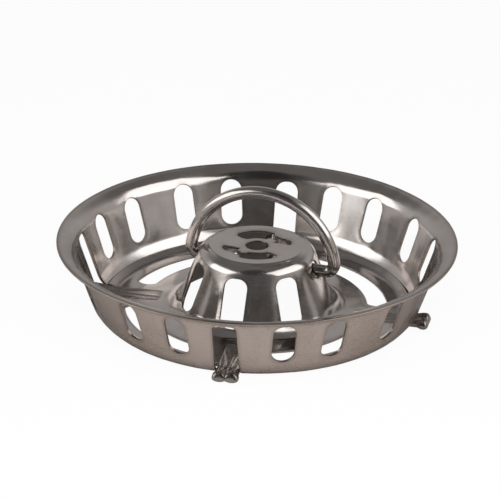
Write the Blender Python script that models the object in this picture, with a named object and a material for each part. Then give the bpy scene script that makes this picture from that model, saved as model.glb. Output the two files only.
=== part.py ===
"""Sink strainer basket: a slotted cup, a domed floor plate and a folding wire bail.

Metres, +Z up. The origin is on the basket's axis, on the surface that the lugs stand on.
The bail's hinge axis runs along X. An azimuth is measured from -Y towards +X.
"""
import math

import bmesh
import bpy
from mathutils import Matrix, Vector

# Sheet, seats and cutting
CUP_SHEET = 0.0006
PLATE_SHEET = 0.0005
SEAT_GAP = 0.0003
CUT_OVERRUN = 0.0040

# Cup: rim flange, cone wall and in-turned bottom edge. Radii are on the sheet's middle line.
RIM_RADIUS = 0.0420
RIM_HEIGHT = 0.0159
FLANGE_WIDTH = 0.0033
FLANGE_RISE = 0.0006
FLANGE_BEND = 0.0022
WALL_FOOT_RADIUS = 0.0337
CUP_CURL_ANGLE = math.radians(60.0)

# Slots and lug windows in the cup's wall. Their upper ends lie a drop below the rim.
LUG_AZIMUTHS = tuple(math.radians(degrees) for degrees in (8.4, 95.5, 188.1, 278.5))
WALL_SLOT_AZIMUTHS = tuple(math.radians(degrees) for degrees in (
    26.9, 43.4, 66.4, 115.8, 133.1, 153.9, 171.2, 206.7, 223.1, 243.9, 261.2, 306.7, 334.4, 352.3))
SLOT_WIDTH = 0.0046
SLOT_DROP = 0.0024
SLOT_FOOT = 0.0042
WINDOW_WIDTH = 0.0049
WINDOW_CORNERS = (0.0013, 0.0013, 0.0022, 0.0013)

# Plate: floor, turned-up edge and curved drain slots, which start an offset outside the dome's foot
FLOOR_HEIGHT = 0.0009
PLATE_CURL = 0.0044
PLATE_CURL_ANGLE = math.radians(40.0)
DRAIN_OFFSET = 0.0061
DRAIN_WIDTH = 0.0041
BRIDGE_ANGLE = math.radians(20.0)

# Dome in the middle of the plate. Radii are on the sheet's middle line.
DOME_HEIGHT = 0.0148
DOME_TOP_RADIUS = 0.0099
STEP_RUN = 0.0004
STEP_DROP = 0.0003
SHOULDER_RUN = 0.0012
SHOULDER_FALL = 0.00025
SHOULDER_FILLET = 0.0016
DOME_FOOT_RADIUS = 0.0166
DOME_FOOT_FILLET = 0.0037

# Openings in the dome. Its side slots' upper ends lie a drop below its top.
DOME_SLOT_WIDTH = 0.0050
DOME_SLOT_DROP = 0.0027
DOME_SLOT_FOOT = 0.0027
DOME_SLOT_AZIMUTHS = tuple(math.radians(degrees) for degrees in (48, 135, 180, 225, 310, 358))
CENTRE_HOLE_RADIUS = 0.0024
CUTOUT_INNER = 0.0042
CUTOUT_OUTER = 0.0069
CUTOUT_SPAN = math.radians(70.0)
TAIL_INNER = 0.0053
TAIL_OUTER = 0.0065
TAIL_SPAN = math.radians(126.0)

# Tongues of the plate, from an offset outside the dome's foot to lugs outside the cup's wall
TONGUE_OFFSET = 0.0030
TONGUE_RAMP = 0.0020
TONGUE_LIFT = 0.00015
TONGUE_RIDGE = 0.00045
TONGUE_START_SHARE = 0.125
RAMP_RIDGE_SHARE = 0.33
LUG_LENGTHS = (0.0017, 0.0017, 0.0017, 0.0012)
LUG_WIDTH = 0.0058
LUG_RISE = 0.0005
LUG_BACK = 0.0004
LUG_LOBE = 0.0007
NECK_LOBE_SHARE = 0.25
END_LOBE_SHARE = 0.5
LUG_END_ROUND = 0.0004

# Bail. Its bow stands off the dome's side and its feet reach inside it.
WIRE_RADIUS = 0.0013
BAIL_STANDOFF = 0.0031
BAIL_RISE = -0.0002
BAIL_BEND = 0.0018
BAIL_SHIFT = 0.0012
FOOT_REACH = 0.0025
PIVOT_DROP = 0.0041
HOLE_CLEARANCE = 0.0006

# Facets
REVOLVE_STEPS = 64
FILLET_STEPS = 4
ROUND_STEPS = 6
ARC_STEPS = 9
RIDGE_STEPS = 12
WIRE_SIDES = 12
BAIL_STEPS = 28
HOLE_SIDES = 20
SMOOTH_ANGLE = math.radians(35.0)
JOIN_SHARE = 0.01


def clear_scene():
    for thing in list(bpy.data.objects):
        bpy.data.objects.remove(thing, do_unlink=True)


def steel(name, colour, roughness):
    material = bpy.data.materials.new(name)
    material.use_nodes = True
    shader = material.node_tree.nodes["Principled BSDF"]
    shader.inputs["Base Color"].default_value = (*colour, 1.0)
    shader.inputs["Metallic"].default_value = 1.0
    shader.inputs["Roughness"].default_value = roughness
    return material


def object_from(name, bm, material=None):
    """Closes the bmesh's normals outward and links it as an object."""
    bmesh.ops.recalc_face_normals(bm, faces=bm.faces)
    mesh = bpy.data.meshes.new(name)
    bm.to_mesh(mesh)
    bm.free()
    mesh.shade_smooth()
    mesh.set_sharp_from_angle(angle=SMOOTH_ANGLE)
    if material:
        mesh.materials.append(material)
    made = bpy.data.objects.new(name, mesh)
    bpy.context.collection.objects.link(made)
    return made


def combine(target, helper, operation):
    """Adds a Boolean modifier and hides the helper solid that it reads."""
    helper.hide_render = True
    helper.display_type = "WIRE"
    helper.parent = target
    modifier = target.modifiers.new(helper.name, "BOOLEAN")
    modifier.object = helper
    modifier.operation = operation
    modifier.solver = "EXACT"


def polar(radius, angle):
    return Vector((radius * math.cos(angle), radius * math.sin(angle)))


def arc(centre, radius, start, end, steps):
    points = []
    for index in range(steps + 1):
        points.append(centre + polar(radius, start + (end - start) * index / steps))
    return points


def fillet_path(corners):
    """Rounds a polyline: each corner is a 2-D point and the radius of its fillet."""
    path = [corners[0][0]]
    for (before, _), (corner, radius), (after, _) in zip(corners, corners[1:], corners[2:]):
        if not radius:
            path.append(corner)
            continue
        back = (before - corner).normalized()
        ahead = (after - corner).normalized()
        half_angle = back.angle(ahead) / 2
        centre = corner + (back + ahead).normalized() * radius / math.sin(half_angle)
        tangent = radius / math.tan(half_angle)
        start = (corner + back * tangent) - centre
        end = (corner + ahead * tangent) - centre
        turn = start.angle_signed(end)
        for index in range(FILLET_STEPS + 1):
            path.append(centre + Matrix.Rotation(-turn * index / FILLET_STEPS, 2) @ start)
    path.append(corners[-1][0])
    return path


def sheet_section(path, sheet):
    """Gives the closed outline of a sheet of even thickness along its middle line."""
    left = []
    right = []
    for index, point in enumerate(path):
        before = path[max(index - 1, 0)]
        after = path[min(index + 1, len(path) - 1)]
        inward = (point - before).normalized() if index else (after - point).normalized()
        onward = (after - point).normalized() if index < len(path) - 1 else inward
        normal = (inward + onward).normalized().orthogonal()
        stretch = 1 / math.cos(inward.angle(onward) / 2)
        left.append(point + normal * sheet / 2 * stretch)
        right.append(point - normal * sheet / 2 * stretch)
    return left + right[::-1]


def revolve(section):
    """Spins a closed outline of radius and height about the Z axis.

    It starts half a facet off the X axis, so that no facet edge runs along the middle of a slot.
    """
    bm = bmesh.new()
    turn = Matrix.Rotation(math.pi / REVOLVE_STEPS, 3, "Z")
    verts = [bm.verts.new(turn @ Vector((point.x, 0, point.y))) for point in section]
    edges = [bm.edges.new(pair) for pair in zip(verts, verts[1:] + verts[:1])]
    bmesh.ops.spin(bm, geom=verts + edges, axis=(0, 0, 1), cent=(0, 0, 0),
                   angle=math.tau, steps=REVOLVE_STEPS, use_merge=True)
    return bm


def radial(azimuth):
    return Vector((math.sin(azimuth), -math.cos(azimuth), 0))


def surface_frame(azimuth, radius, height, lean):
    """Frame on a cone wall: X along the wall's round, Y up its slope, Z out of the wall.

    A positive lean is that of a wall that opens outward as it rises.
    """
    across = Vector((math.cos(azimuth), math.sin(azimuth), 0))
    outward = radial(azimuth)
    upward = outward * math.sin(lean) + Vector((0, 0, math.cos(lean)))
    normal = across.cross(upward)
    frame = Matrix((across, upward, normal)).transposed().to_4x4()
    frame.translation = outward * radius + Vector((0, 0, height))
    return frame


def rounded_rectangle(width, low, high, corner):
    """Outline with round corners, from low to high. A corner of half the width makes a stadium."""
    across = width / 2 - corner
    top = high - corner
    bottom = low + corner
    outline = []
    for index, centre in enumerate(((across, top), (-across, top), (-across, bottom), (across, bottom))):
        start = index * math.pi / 2
        quarter = arc(Vector(centre), corner, start, start + math.pi / 2, ROUND_STEPS)
        outline += [point for point in quarter
                    if not outline or (point - outline[-1]).length > corner * JOIN_SHARE]
    return outline


def arc_slot(inner, outer, start, end):
    """Outline of a curved slot in plan, whose round ends stay inside start and end."""
    middle = (inner + outer) / 2
    half = (outer - inner) / 2
    cap = math.asin(half / middle)
    first = start + cap
    last = end - cap
    origin = Vector((0, 0))
    outline = arc(origin, outer, first, last, ARC_STEPS)
    outline += arc(polar(middle, last), half, last, last + math.pi, ROUND_STEPS)[1:-1]
    outline += arc(origin, inner, last, first, ARC_STEPS)
    outline += arc(polar(middle, first), half, first + math.pi, first + math.tau, ROUND_STEPS)[1:-1]
    return outline


def add_prism(bm, outline, frame, depth):
    """Adds an outline extruded to both sides of its frame's XY plane."""
    verts = [bm.verts.new(frame @ Vector((point.x, point.y, -depth))) for point in outline]
    face = bm.faces.new(verts)
    grown = bmesh.ops.extrude_face_region(bm, geom=[face])
    moved = [item for item in grown["geom"] if isinstance(item, bmesh.types.BMVert)]
    bmesh.ops.translate(bm, verts=moved, vec=frame.to_3x3() @ Vector((0, 0, 2 * depth)))


def wall_lean():
    rise = RIM_HEIGHT - FLANGE_RISE - FLOOR_HEIGHT
    return math.atan2(RIM_RADIUS - FLANGE_WIDTH - WALL_FOOT_RADIUS, rise)


def wall_radius(height):
    """Radius of the wall's middle line at a height."""
    return WALL_FOOT_RADIUS + (height - FLOOR_HEIGHT) * math.tan(wall_lean())


def curl_centre():
    """Shared centre of the cup's in-turned edge and the plate's turned-up edge."""
    height = FLOOR_HEIGHT + PLATE_CURL
    return Vector((wall_radius(height) - cup_curl_radius() / math.cos(wall_lean()), height))


def cup_curl_radius():
    return PLATE_CURL + PLATE_SHEET + SEAT_GAP + CUP_SHEET / 2


def cup_path():
    """Middle line of the cup's sheet, from the rim's outer edge to the in-turned bottom edge."""
    tilt = math.atan2(FLANGE_RISE, FLANGE_WIDTH)
    half = CUP_SHEET / 2
    edge = Vector((RIM_RADIUS - half * math.sin(tilt), RIM_HEIGHT - half * math.cos(tilt)))
    bend_height = RIM_HEIGHT - FLANGE_RISE - half
    bend = Vector((wall_radius(bend_height), bend_height))
    curl = arc(curl_centre(), cup_curl_radius(), -wall_lean(), -CUP_CURL_ANGLE, FILLET_STEPS)
    return fillet_path([(edge, 0), (bend, FLANGE_BEND), (curl[0], 0)]) + curl[1:]


def slot_top():
    return RIM_HEIGHT - SLOT_DROP


def wall_slots():
    bm = bmesh.new()
    height = (slot_top() + SLOT_FOOT) / 2
    reach = (slot_top() - SLOT_FOOT) / 2 / math.cos(wall_lean())
    outline = rounded_rectangle(SLOT_WIDTH, -reach, reach, SLOT_WIDTH / 2)
    for azimuth in WALL_SLOT_AZIMUTHS:
        frame = surface_frame(azimuth, wall_radius(height), height, wall_lean())
        add_prism(bm, outline, frame, CUT_OVERRUN)
    return object_from("cutter_wall_slots", bm)


def lug_windows():
    """Windows that run down through the bottom corner, so that they are open below."""
    bm = bmesh.new()
    reach = (slot_top() - FLOOR_HEIGHT) / math.cos(wall_lean())
    for azimuth, corner in zip(LUG_AZIMUTHS, WINDOW_CORNERS):
        outline = rounded_rectangle(WINDOW_WIDTH, -CUT_OVERRUN, reach, corner)
        frame = surface_frame(azimuth, wall_radius(FLOOR_HEIGHT), FLOOR_HEIGHT, wall_lean())
        add_prism(bm, outline, frame, CUT_OVERRUN)
    return object_from("cutter_lug_windows", bm)


def slotted_cup():
    finish = steel("cup_steel", (0.58, 0.54, 0.50), 0.28)
    cup = object_from("slotted_cup", revolve(sheet_section(cup_path(), CUP_SHEET)), finish)
    combine(cup, wall_slots(), "DIFFERENCE")
    combine(cup, lug_windows(), "DIFFERENCE")
    return cup


def floor_middle():
    return FLOOR_HEIGHT - PLATE_SHEET / 2


def dome_shoulder():
    """Corner where the dome's sloped edge ring meets its cone side."""
    top = DOME_HEIGHT - PLATE_SHEET / 2
    return Vector((DOME_TOP_RADIUS + STEP_RUN + SHOULDER_RUN, top - STEP_DROP - SHOULDER_FALL))


def dome_lean():
    """Lean of the dome's side, negative because it closes inward as it rises."""
    shoulder = dome_shoulder()
    return -math.atan2(DOME_FOOT_RADIUS - shoulder.x, shoulder.y - floor_middle())


def dome_radius(height):
    """Radius of the middle line of the dome's side at a height."""
    return DOME_FOOT_RADIUS + (height - floor_middle()) * math.tan(dome_lean())


def pivot_height():
    return DOME_HEIGHT - PIVOT_DROP


def pivot_radius():
    """Radius of the dome's side where the hinge axis pierces it."""
    return dome_radius(pivot_height())


def plate_path():
    """Middle line of the plate's sheet, from its centre hole to its turned-up edge."""
    top = DOME_HEIGHT - PLATE_SHEET / 2
    step = DOME_TOP_RADIUS + STEP_RUN
    corners = [(Vector((CENTRE_HOLE_RADIUS, top)), 0),
               (Vector((DOME_TOP_RADIUS, top)), 0),
               (Vector((step, top - STEP_DROP)), 0),
               (dome_shoulder(), SHOULDER_FILLET),
               (Vector((DOME_FOOT_RADIUS, floor_middle())), DOME_FOOT_FILLET),
               (Vector((curl_centre().x, floor_middle())), 0)]
    start = -math.pi / 2
    curl = arc(curl_centre(), PLATE_CURL + PLATE_SHEET / 2, start, start + PLATE_CURL_ANGLE, FILLET_STEPS)
    return fillet_path(corners) + curl[1:]


def dome_slots():
    bm = bmesh.new()
    top = DOME_HEIGHT - DOME_SLOT_DROP
    height = (top + DOME_SLOT_FOOT) / 2
    reach = (top - DOME_SLOT_FOOT) / 2 / math.cos(dome_lean())
    outline = rounded_rectangle(DOME_SLOT_WIDTH, -reach, reach, DOME_SLOT_WIDTH / 2)
    for azimuth in DOME_SLOT_AZIMUTHS:
        frame = surface_frame(azimuth, dome_radius(height), height, dome_lean())
        add_prism(bm, outline, frame, CUT_OVERRUN)
    return object_from("cutter_dome_slots", bm)


def bail_holes():
    """One rod along the hinge axis, which pierces both sides of the dome."""
    bm = bmesh.new()
    radius = WIRE_RADIUS + HOLE_CLEARANCE
    outline = arc(Vector((0, 0)), radius, 0, math.tau, HOLE_SIDES)[:-1]
    frame = surface_frame(math.pi / 2, 0, pivot_height(), 0)
    add_prism(bm, outline, frame, DOME_FOOT_RADIUS + CUT_OVERRUN)
    return object_from("cutter_bail_holes", bm)


def plan_frame(height, turn=0.0):
    """Frame for an outline in plan, whose X axis points towards -Y before the turn."""
    return Matrix.Translation((0, 0, height)) @ Matrix.Rotation(turn - math.pi / 2, 4, "Z")


def top_cutouts(name, inner, outer, span):
    """Two curved slots in the dome's top, one at each side of the hinge axis."""
    bm = bmesh.new()
    outline = arc_slot(inner, outer, -span / 2, span / 2)
    for turn in (0.0, math.pi):
        add_prism(bm, outline, plan_frame(DOME_HEIGHT, turn), CUT_OVERRUN)
    return object_from(name, bm)


def drain_slots():
    bm = bmesh.new()
    inner = DOME_FOOT_RADIUS + DRAIN_OFFSET
    half = BRIDGE_ANGLE / 2
    following = LUG_AZIMUTHS[1:] + (LUG_AZIMUTHS[0] + math.tau,)
    for azimuth, ahead in zip(LUG_AZIMUTHS, following):
        outline = arc_slot(inner, inner + DRAIN_WIDTH, half, ahead - azimuth - half)
        add_prism(bm, outline, plan_frame(FLOOR_HEIGHT, azimuth), FLOOR_HEIGHT)
    return object_from("cutter_drain_slots", bm)


def tongue_stations(length):
    """Cross-sections along a tongue: radius, width, top, bottom, ridge height and lobe depth."""
    width = WINDOW_WIDTH - 2 * SEAT_GAP
    middle = floor_middle()
    top = FLOOR_HEIGHT + TONGUE_LIFT
    edge = curl_centre().x
    start = DOME_FOOT_RADIUS + TONGUE_OFFSET
    outside = wall_radius(FLOOR_HEIGHT + PLATE_CURL / 2) + CUP_SHEET + SEAT_GAP
    end = outside + length
    return [(start, width, middle + PLATE_SHEET * TONGUE_START_SHARE, middle, 0, 0),
            (start + TONGUE_RAMP, width, top, middle, TONGUE_RIDGE * RAMP_RIDGE_SHARE, 0),
            ((start + edge) / 2, width, top, middle, TONGUE_RIDGE, 0),
            (edge, width, top, middle, TONGUE_RIDGE, 0),
            (edge + PLATE_CURL, width, top, LUG_BACK, TONGUE_RIDGE, LUG_LOBE * NECK_LOBE_SHARE),
            (outside, width, top, LUG_BACK, TONGUE_RIDGE, LUG_LOBE),
            (outside + SEAT_GAP, LUG_WIDTH, top + LUG_RISE, LUG_BACK, TONGUE_RIDGE, LUG_LOBE),
            (end - LUG_END_ROUND, LUG_WIDTH, top + LUG_RISE, LUG_BACK, TONGUE_RIDGE, LUG_LOBE),
            (end, LUG_WIDTH - LUG_END_ROUND, top + LUG_RISE - LUG_END_ROUND, LUG_BACK,
             TONGUE_RIDGE, LUG_LOBE * END_LOBE_SHARE)]


def tongue_ring(radius, width, top, bottom, ridge, lobe):
    """Pinched section with two ridges above and two lobes below, cut flat where they stand."""
    upper = []
    lower = []
    for index in range(RIDGE_STEPS + 1):
        share = 2 * index / RIDGE_STEPS - 1
        swell = math.sin(math.pi * share) ** 2
        upper.append(Vector((share * width / 2, -radius, top + ridge * swell)))
        lower.append(Vector((share * width / 2, -radius, max(bottom - lobe * swell, 0))))
    return upper + lower[::-1]


def tongues():
    bm = bmesh.new()
    for azimuth, length in zip(LUG_AZIMUTHS, LUG_LENGTHS):
        turn = Matrix.Rotation(azimuth, 3, "Z")
        rings = [[bm.verts.new(turn @ point) for point in tongue_ring(*station)]
                 for station in tongue_stations(length)]
        for near, far in zip(rings, rings[1:]):
            for first, second in zip(range(len(near)), list(range(1, len(near))) + [0]):
                bm.faces.new((near[first], near[second], far[second], far[first]))
        bm.faces.new(rings[0])
        bm.faces.new(rings[-1])
    return object_from("joined_tongues", bm)


def dome_plate():
    finish = steel("plate_steel", (0.60, 0.57, 0.54), 0.24)
    plate = object_from("dome_plate", revolve(sheet_section(plate_path(), PLATE_SHEET)), finish)
    combine(plate, dome_slots(), "DIFFERENCE")
    combine(plate, bail_holes(), "DIFFERENCE")
    combine(plate, top_cutouts("cutter_top_middles", CUTOUT_INNER, CUTOUT_OUTER, CUTOUT_SPAN), "DIFFERENCE")
    combine(plate, top_cutouts("cutter_top_tails", TAIL_INNER, TAIL_OUTER, TAIL_SPAN), "DIFFERENCE")
    combine(plate, drain_slots(), "DIFFERENCE")
    combine(plate, tongues(), "UNION")
    return plate


def bail_path():
    """Middle line of the wire in the XZ plane, from the hinge axis: foot, bend, bow, bend, foot."""
    radius = pivot_radius() + BAIL_STANDOFF
    bend_x = math.sqrt((radius - BAIL_BEND) ** 2 - (BAIL_BEND - BAIL_RISE) ** 2)
    meets = math.atan2(BAIL_BEND - BAIL_RISE, bend_x)
    half = [Vector((pivot_radius() - FOOT_REACH, 0))]
    half += arc(Vector((bend_x, BAIL_BEND)), BAIL_BEND, -math.pi / 2, meets, FILLET_STEPS + 1)
    bow = arc(Vector((0, BAIL_RISE)), radius, meets, math.pi - meets, BAIL_STEPS)
    mirrored = [Vector((-point.x, point.y)) for point in reversed(half)]
    return half + bow[1:-1] + mirrored


def bail():
    """Sweeps the round wire along its path. The origin lies on the hinge axis."""
    bm = bmesh.new()
    path = bail_path()
    rings = []
    for index, point in enumerate(path):
        before = path[max(index - 1, 0)]
        after = path[min(index + 1, len(path) - 1)]
        side = (after - before).normalized().orthogonal()
        ring = []
        for step in range(WIRE_SIDES):
            angle = math.tau * step / WIRE_SIDES
            offset = side * WIRE_RADIUS * math.cos(angle)
            place = (point.x + offset.x + BAIL_SHIFT, WIRE_RADIUS * math.sin(angle), point.y + offset.y)
            ring.append(bm.verts.new(place))
        rings.append(ring)
    for near, far in zip(rings, rings[1:]):
        for step in range(WIRE_SIDES):
            following = (step + 1) % WIRE_SIDES
            bm.faces.new((near[step], near[following], far[following], far[step]))
    bm.faces.new(rings[0])
    bm.faces.new(rings[-1])
    made = object_from("bail", bm, steel("wire_steel", (0.62, 0.59, 0.55), 0.18))
    made.location = (0, 0, pivot_height())
    return made


def build():
    clear_scene()
    slotted_cup()
    dome_plate()
    bail()


build()
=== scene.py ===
"""Looks of the sink strainer basket: pressed sheet shells with rounded cut edges, and a wire bail.

Metres, +Z up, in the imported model's frame. An azimuth is measured from -Y towards +X.
A sheet is laid out flat as a ring: a point's distance from the ring's centre grows with its
distance along the sheet's profile, and its azimuth stays. Cut-outs are drawn in that layout.
"""
import math

import bpy
import numpy as np
from mathutils import Matrix, Vector
from mathutils.geometry import delaunay_2d_cdt
from mathutils.kdtree import KDTree


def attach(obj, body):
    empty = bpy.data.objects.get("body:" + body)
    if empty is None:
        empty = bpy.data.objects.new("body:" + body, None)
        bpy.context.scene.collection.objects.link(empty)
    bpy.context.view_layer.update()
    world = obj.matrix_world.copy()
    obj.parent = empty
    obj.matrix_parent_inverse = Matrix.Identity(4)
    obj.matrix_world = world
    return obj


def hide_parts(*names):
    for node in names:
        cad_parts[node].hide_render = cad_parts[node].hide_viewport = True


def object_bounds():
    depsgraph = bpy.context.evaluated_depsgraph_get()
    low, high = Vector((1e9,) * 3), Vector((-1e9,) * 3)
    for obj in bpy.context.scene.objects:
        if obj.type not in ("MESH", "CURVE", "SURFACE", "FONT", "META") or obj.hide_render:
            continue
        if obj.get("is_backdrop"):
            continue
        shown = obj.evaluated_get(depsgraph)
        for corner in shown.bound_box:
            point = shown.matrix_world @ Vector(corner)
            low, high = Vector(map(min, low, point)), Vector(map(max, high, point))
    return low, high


# Thickness of the sheets, the room between seated parts, and the rounding of a cut edge
CUP_SHEET = 0.0006
PLATE_SHEET = 0.0005
SEAT_GAP = 0.0003
CUT_EASE = 0.00012

# Cup. A window opens over each lug, and the lugs are the front, right, back and left one. A drop is
# measured down from the top.
RIM_RADIUS = 0.0420
RIM_HEIGHT = 0.0159
FLANGE_WIDTH = 0.0033
FLANGE_RISE = 0.0006
FLANGE_BEND = 0.0040
WALL_FOOT_RADIUS = 0.0337
CUP_CURL_ANGLE = math.radians(60.0)
LUG_AZIMUTHS = tuple(math.radians(degrees) for degrees in (8.4, 95.5, 188.1, 278.5))
WALL_SLOT_AZIMUTHS = tuple(math.radians(degrees) for degrees in (
    26.9, 43.4, 66.4, 116.6, 134.4, 155.0, 171.8, 207.1, 224.0, 244.9, 262.1, 306.7, 334.4, 352.3))
SLOT_WIDTH = 0.0046
SLOT_DROP = 0.0024
SLOT_FOOT = 0.0042
WINDOW_WIDTH = 0.0049
WINDOW_DROP = 0.0027
WINDOW_CORNERS = (0.0013, 0.0013, 0.0022, 0.0013)

# Floor of the plate. The drain slots start an offset outside the dome's foot, with a bridge at each lug.
FLOOR_HEIGHT = 0.0009
PLATE_CURL = 0.0044
PLATE_CURL_ANGLE = math.radians(40.0)
DRAIN_OFFSET = 0.0069
DRAIN_WIDTH = 0.0042
BRIDGE_ANGLE = math.radians(24.0)

# Dome. Its top is dished towards the centre hole and steps down to the rounded shoulder.
DOME_HEIGHT = 0.01455
DOME_TOP_RADIUS = 0.0099
TOP_DISH = 0.00022
STEP_RUN = 0.0004
STEP_DROP = 0.0003
STEP_FILLET = 0.0004
SHOULDER_RADIUS = 0.01175
SHOULDER_DROP = 0.0007
SHOULDER_FILLET = 0.0025
DOME_FOOT_RADIUS = 0.0166
DOME_FOOT_FILLET = 0.0037
DOME_SLOT_WIDTH = 0.0050
DOME_SLOT_CORNER = 0.0020
DOME_SLOT_DROP = 0.00275
DOME_SLOT_FOOT = 0.0021
DOME_SLOT_AZIMUTHS = tuple(math.radians(degrees) for degrees in (47, 135, 180, 225, 310, 358.6))
CENTRE_HOLE_RADIUS = 0.0024

# The two curved cut-outs in the dome's top. The second one is turned by half a circle.
CUTOUT_INNER = 0.0038
CUTOUT_OUTER = 0.0074
CUTOUT_START = math.radians(-14.0)
CUTOUT_END = math.radians(54.0)
CUTOUT_SWELL = math.radians(5.0)
CUTOUT_POINTS = 240
TAIL_WIDTH = 0.0015
TAIL_END = math.radians(70.0)
CUTOUT_EYE = math.radians(-57.0)
EYE_RADIUS = 0.0018

# Tongues. Each starts an offset outside the dome's foot, sunk in the floor, and comes out of it over the
# ramp. Its folds run together over the floor. It climbs before the wall and ends outside it as a lug with
# two lobes, whose lower ends are cut flat. Its level lies a depth below the floor's upper side.
TONGUE_OFFSET = 0.0030
TONGUE_RAMP = 0.0020
TONGUE_DEPTH = 0.4 * PLATE_SHEET
TONGUE_UNDER = 0.5 * PLATE_SHEET
TONGUE_SINK = 0.0001
TONGUE_LIFT = 0.00015
TONGUE_RIDGE = 0.00034
RIDGE_START = 0.25
NECK_PLAY = 0.0001
FOLD_HOLD = 0.0036
CLIMB_RUN = 0.0050
CLIMB_HEIGHT = 0.0008
CLIMB_EDGE = 0.7
LUG_LENGTHS = (0.0017, 0.0017, 0.0017, 0.0004)
LUG_WIDTH = 0.0055
LUG_END_ROUND = 0.0009
LUG_END_WIDTH = 0.75
LOBE_RUN = 0.0009
LOBE_HEIGHT = 0.0014
LOBE_WAIST = 0.62
LOBE_RIDGE = 0.4
LOBE_FLAT = 0.0001
LOBE_POWER = 4.0
SIDE_POWER = 8.0

# Folds of a tongue: place across it by the dome and at the wall, as shares of half its width, and
# height and breadth
FOLDS = (
    (-0.95, -0.20, 1.0, 0.22),
    (0.30, 0.16, 1.0, 0.18),
    (1.05, 0.62, 0.8, 0.17),
    (-1.2, -0.75, 0.5, 0.17),
)

# Bail. Its bow is round, about a centre that lies a rise above the hinge axis, and bends inwards to the feet.
# The whole wire is shifted along the hinge axis.
WIRE_RADIUS = 0.0013
BAIL_RADIUS = 0.0158574
BAIL_RISE = -0.0002
BAIL_BEND = 0.0018
BAIL_SHIFT = 0.0012
FOOT_START = 0.0101874
WIRE_EASE = 0.0002
PIVOT_HEIGHT = 0.0107
HOLE_CLEARANCE = 0.0006

# Unevenness of the pressed sheet: it is drawn down at cut edges, and a low wave runs over it.
DISH_DEPTH = 0.00005
DISH_REACH = 0.0009
WAVE_HEIGHT = 0.000012
WAVE_TURNS = 420.0

# Mesh fineness
PROFILE_STEP = 0.00002
RING_STEP = 0.00065
BEND_STEP = math.radians(8.0)
CUP_SPOKES = 360
PLATE_SPOKES = 220
EDGE_STEP = 0.00028
EASE_STEPS = 3
GRID_MARGIN = 0.00022
SLOPE_STEP = 0.00002
MERGE_GAP = 1e-7
TONGUE_SIDES = 80
TONGUE_RINGS = 130
LUG_END_RINGS = 12
WIRE_SIDES = 40
WIRE_EASE_STEPS = 4
BAIL_STEP = 0.0003

# Steel. A noise is a scale per millimetre, detail, roughness and distortion. A band is a range of its values.
CLOUDS = (0.11, 4.0, 0.55, 0.6)
SPUN_LINES = (1.0, 3.0, 0.6)
SPECKS = (3.4, 3.0, 0.6)
STAIN_BAND = (0.36, 0.66)
LINE_BAND = (0.34, 0.62)
ROUGH_BAND = (0.3, 0.7)
SPECK_BAND = (0.35, 0.7)
CLOUD_ROUGHNESS = (0.8, 1.25)
LINE_ROUGHNESS = (-0.02, 0.03)
BUMP_UNIT = 0.001
SPUN_LENGTH = 9.0
SPUN_FINENESS = 5.5
SPUN_SLANT = 0.8
WARM_TINT = (1.0, 0.97, 0.94)
EDGE_TINT = (0.62, 0.55, 0.49)
EDGE_REACH = 0.9
# Share of the colour where the steel is darkened: painted shade under the dome and on the lugs' lobes, darker
# towards the bail's feet.
DARKENING_SHARE = 0.42

# Darkening: from and to, in millimetres, and its shares there. Under the dome it is painted shade, and out on
# the lugs' lobes it is painted shade for their dark reflection;
# both go by the distance from the axis. On the bail's feet it goes by the height and is only a darkening
# towards the feet.
DOME_PAINTED_SHADE = (14.0, 19.0, 1.0, 0.0)
LOBE_PAINTED_SHADE = (31.0, 35.0, 0.0, 0.85)
FOOT_DARKENING = (11.4, 13.8, 0.85, 0.0)

# Camera. The rim's centre lies at the pixel, and the focal length is in pixels of the photograph.
PHOTO_PIXELS = 500
RIM_PIXEL = (256.65, 237.9)
FOCAL_PIXELS = 3213.0
CAMERA_DISTANCE = 0.672
CAMERA_AZIMUTH = math.radians(18.0)
CAMERA_ELEVATION = math.radians(23.666)
CAMERA_ROLL = math.radians(0.848)
CLIP_START = 0.01

# Lamps: name, azimuth from the camera, elevation, distance, width, height and radiance
SOFT_BOXES = (
    ("soft_box_right", math.radians(70.0), math.radians(39.0), 1.0, 1.10, 0.78, 1.75),
    ("soft_box_left", math.radians(-76.0), math.radians(29.0), 1.0, 0.92, 0.62, 1.8),
)
FRONT_LAMP = ("front_lamp", math.radians(0.0), math.radians(50.0), 0.30, 0.25, 0.25, 4.1)

# Room. Its light falls from low to high between two sines of elevation, and is dimmed to a share round
# the dark azimuth.
ROOM_COLOUR = (1.0, 0.97, 0.96)
ROOM_LOW = 0.50
ROOM_HIGH = 0.17
ROOM_FALL = (0.42, 0.72)
DARK_AZIMUTH = math.radians(-5.0)
DARK_START = math.radians(22.0)
DARK_END = math.radians(56.0)
DARK_SHARE = 0.20

# Table. Its own white has one share when it is seen directly and another when it is mirrored.
TABLE_RADIUS = 6.0
TABLE_SIDES = 96
TABLE_DROP = 0.00005
TABLE_COLOUR = (0.96, 0.96, 0.96)
TABLE_ROUGHNESS = 0.9
GLOW_SHARE = 0.95
MIRRORED_GLOW = 0.08

MILLIMETRES = 1000.0
UP = np.array((0.0, 0.0, 1.0))
EDGE_ATTRIBUTE = "edge_distance"


def placed(name, data):
    """A new object in the scene."""
    made = bpy.data.objects.new(name, data)
    bpy.context.scene.collection.objects.link(made)
    return made


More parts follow.
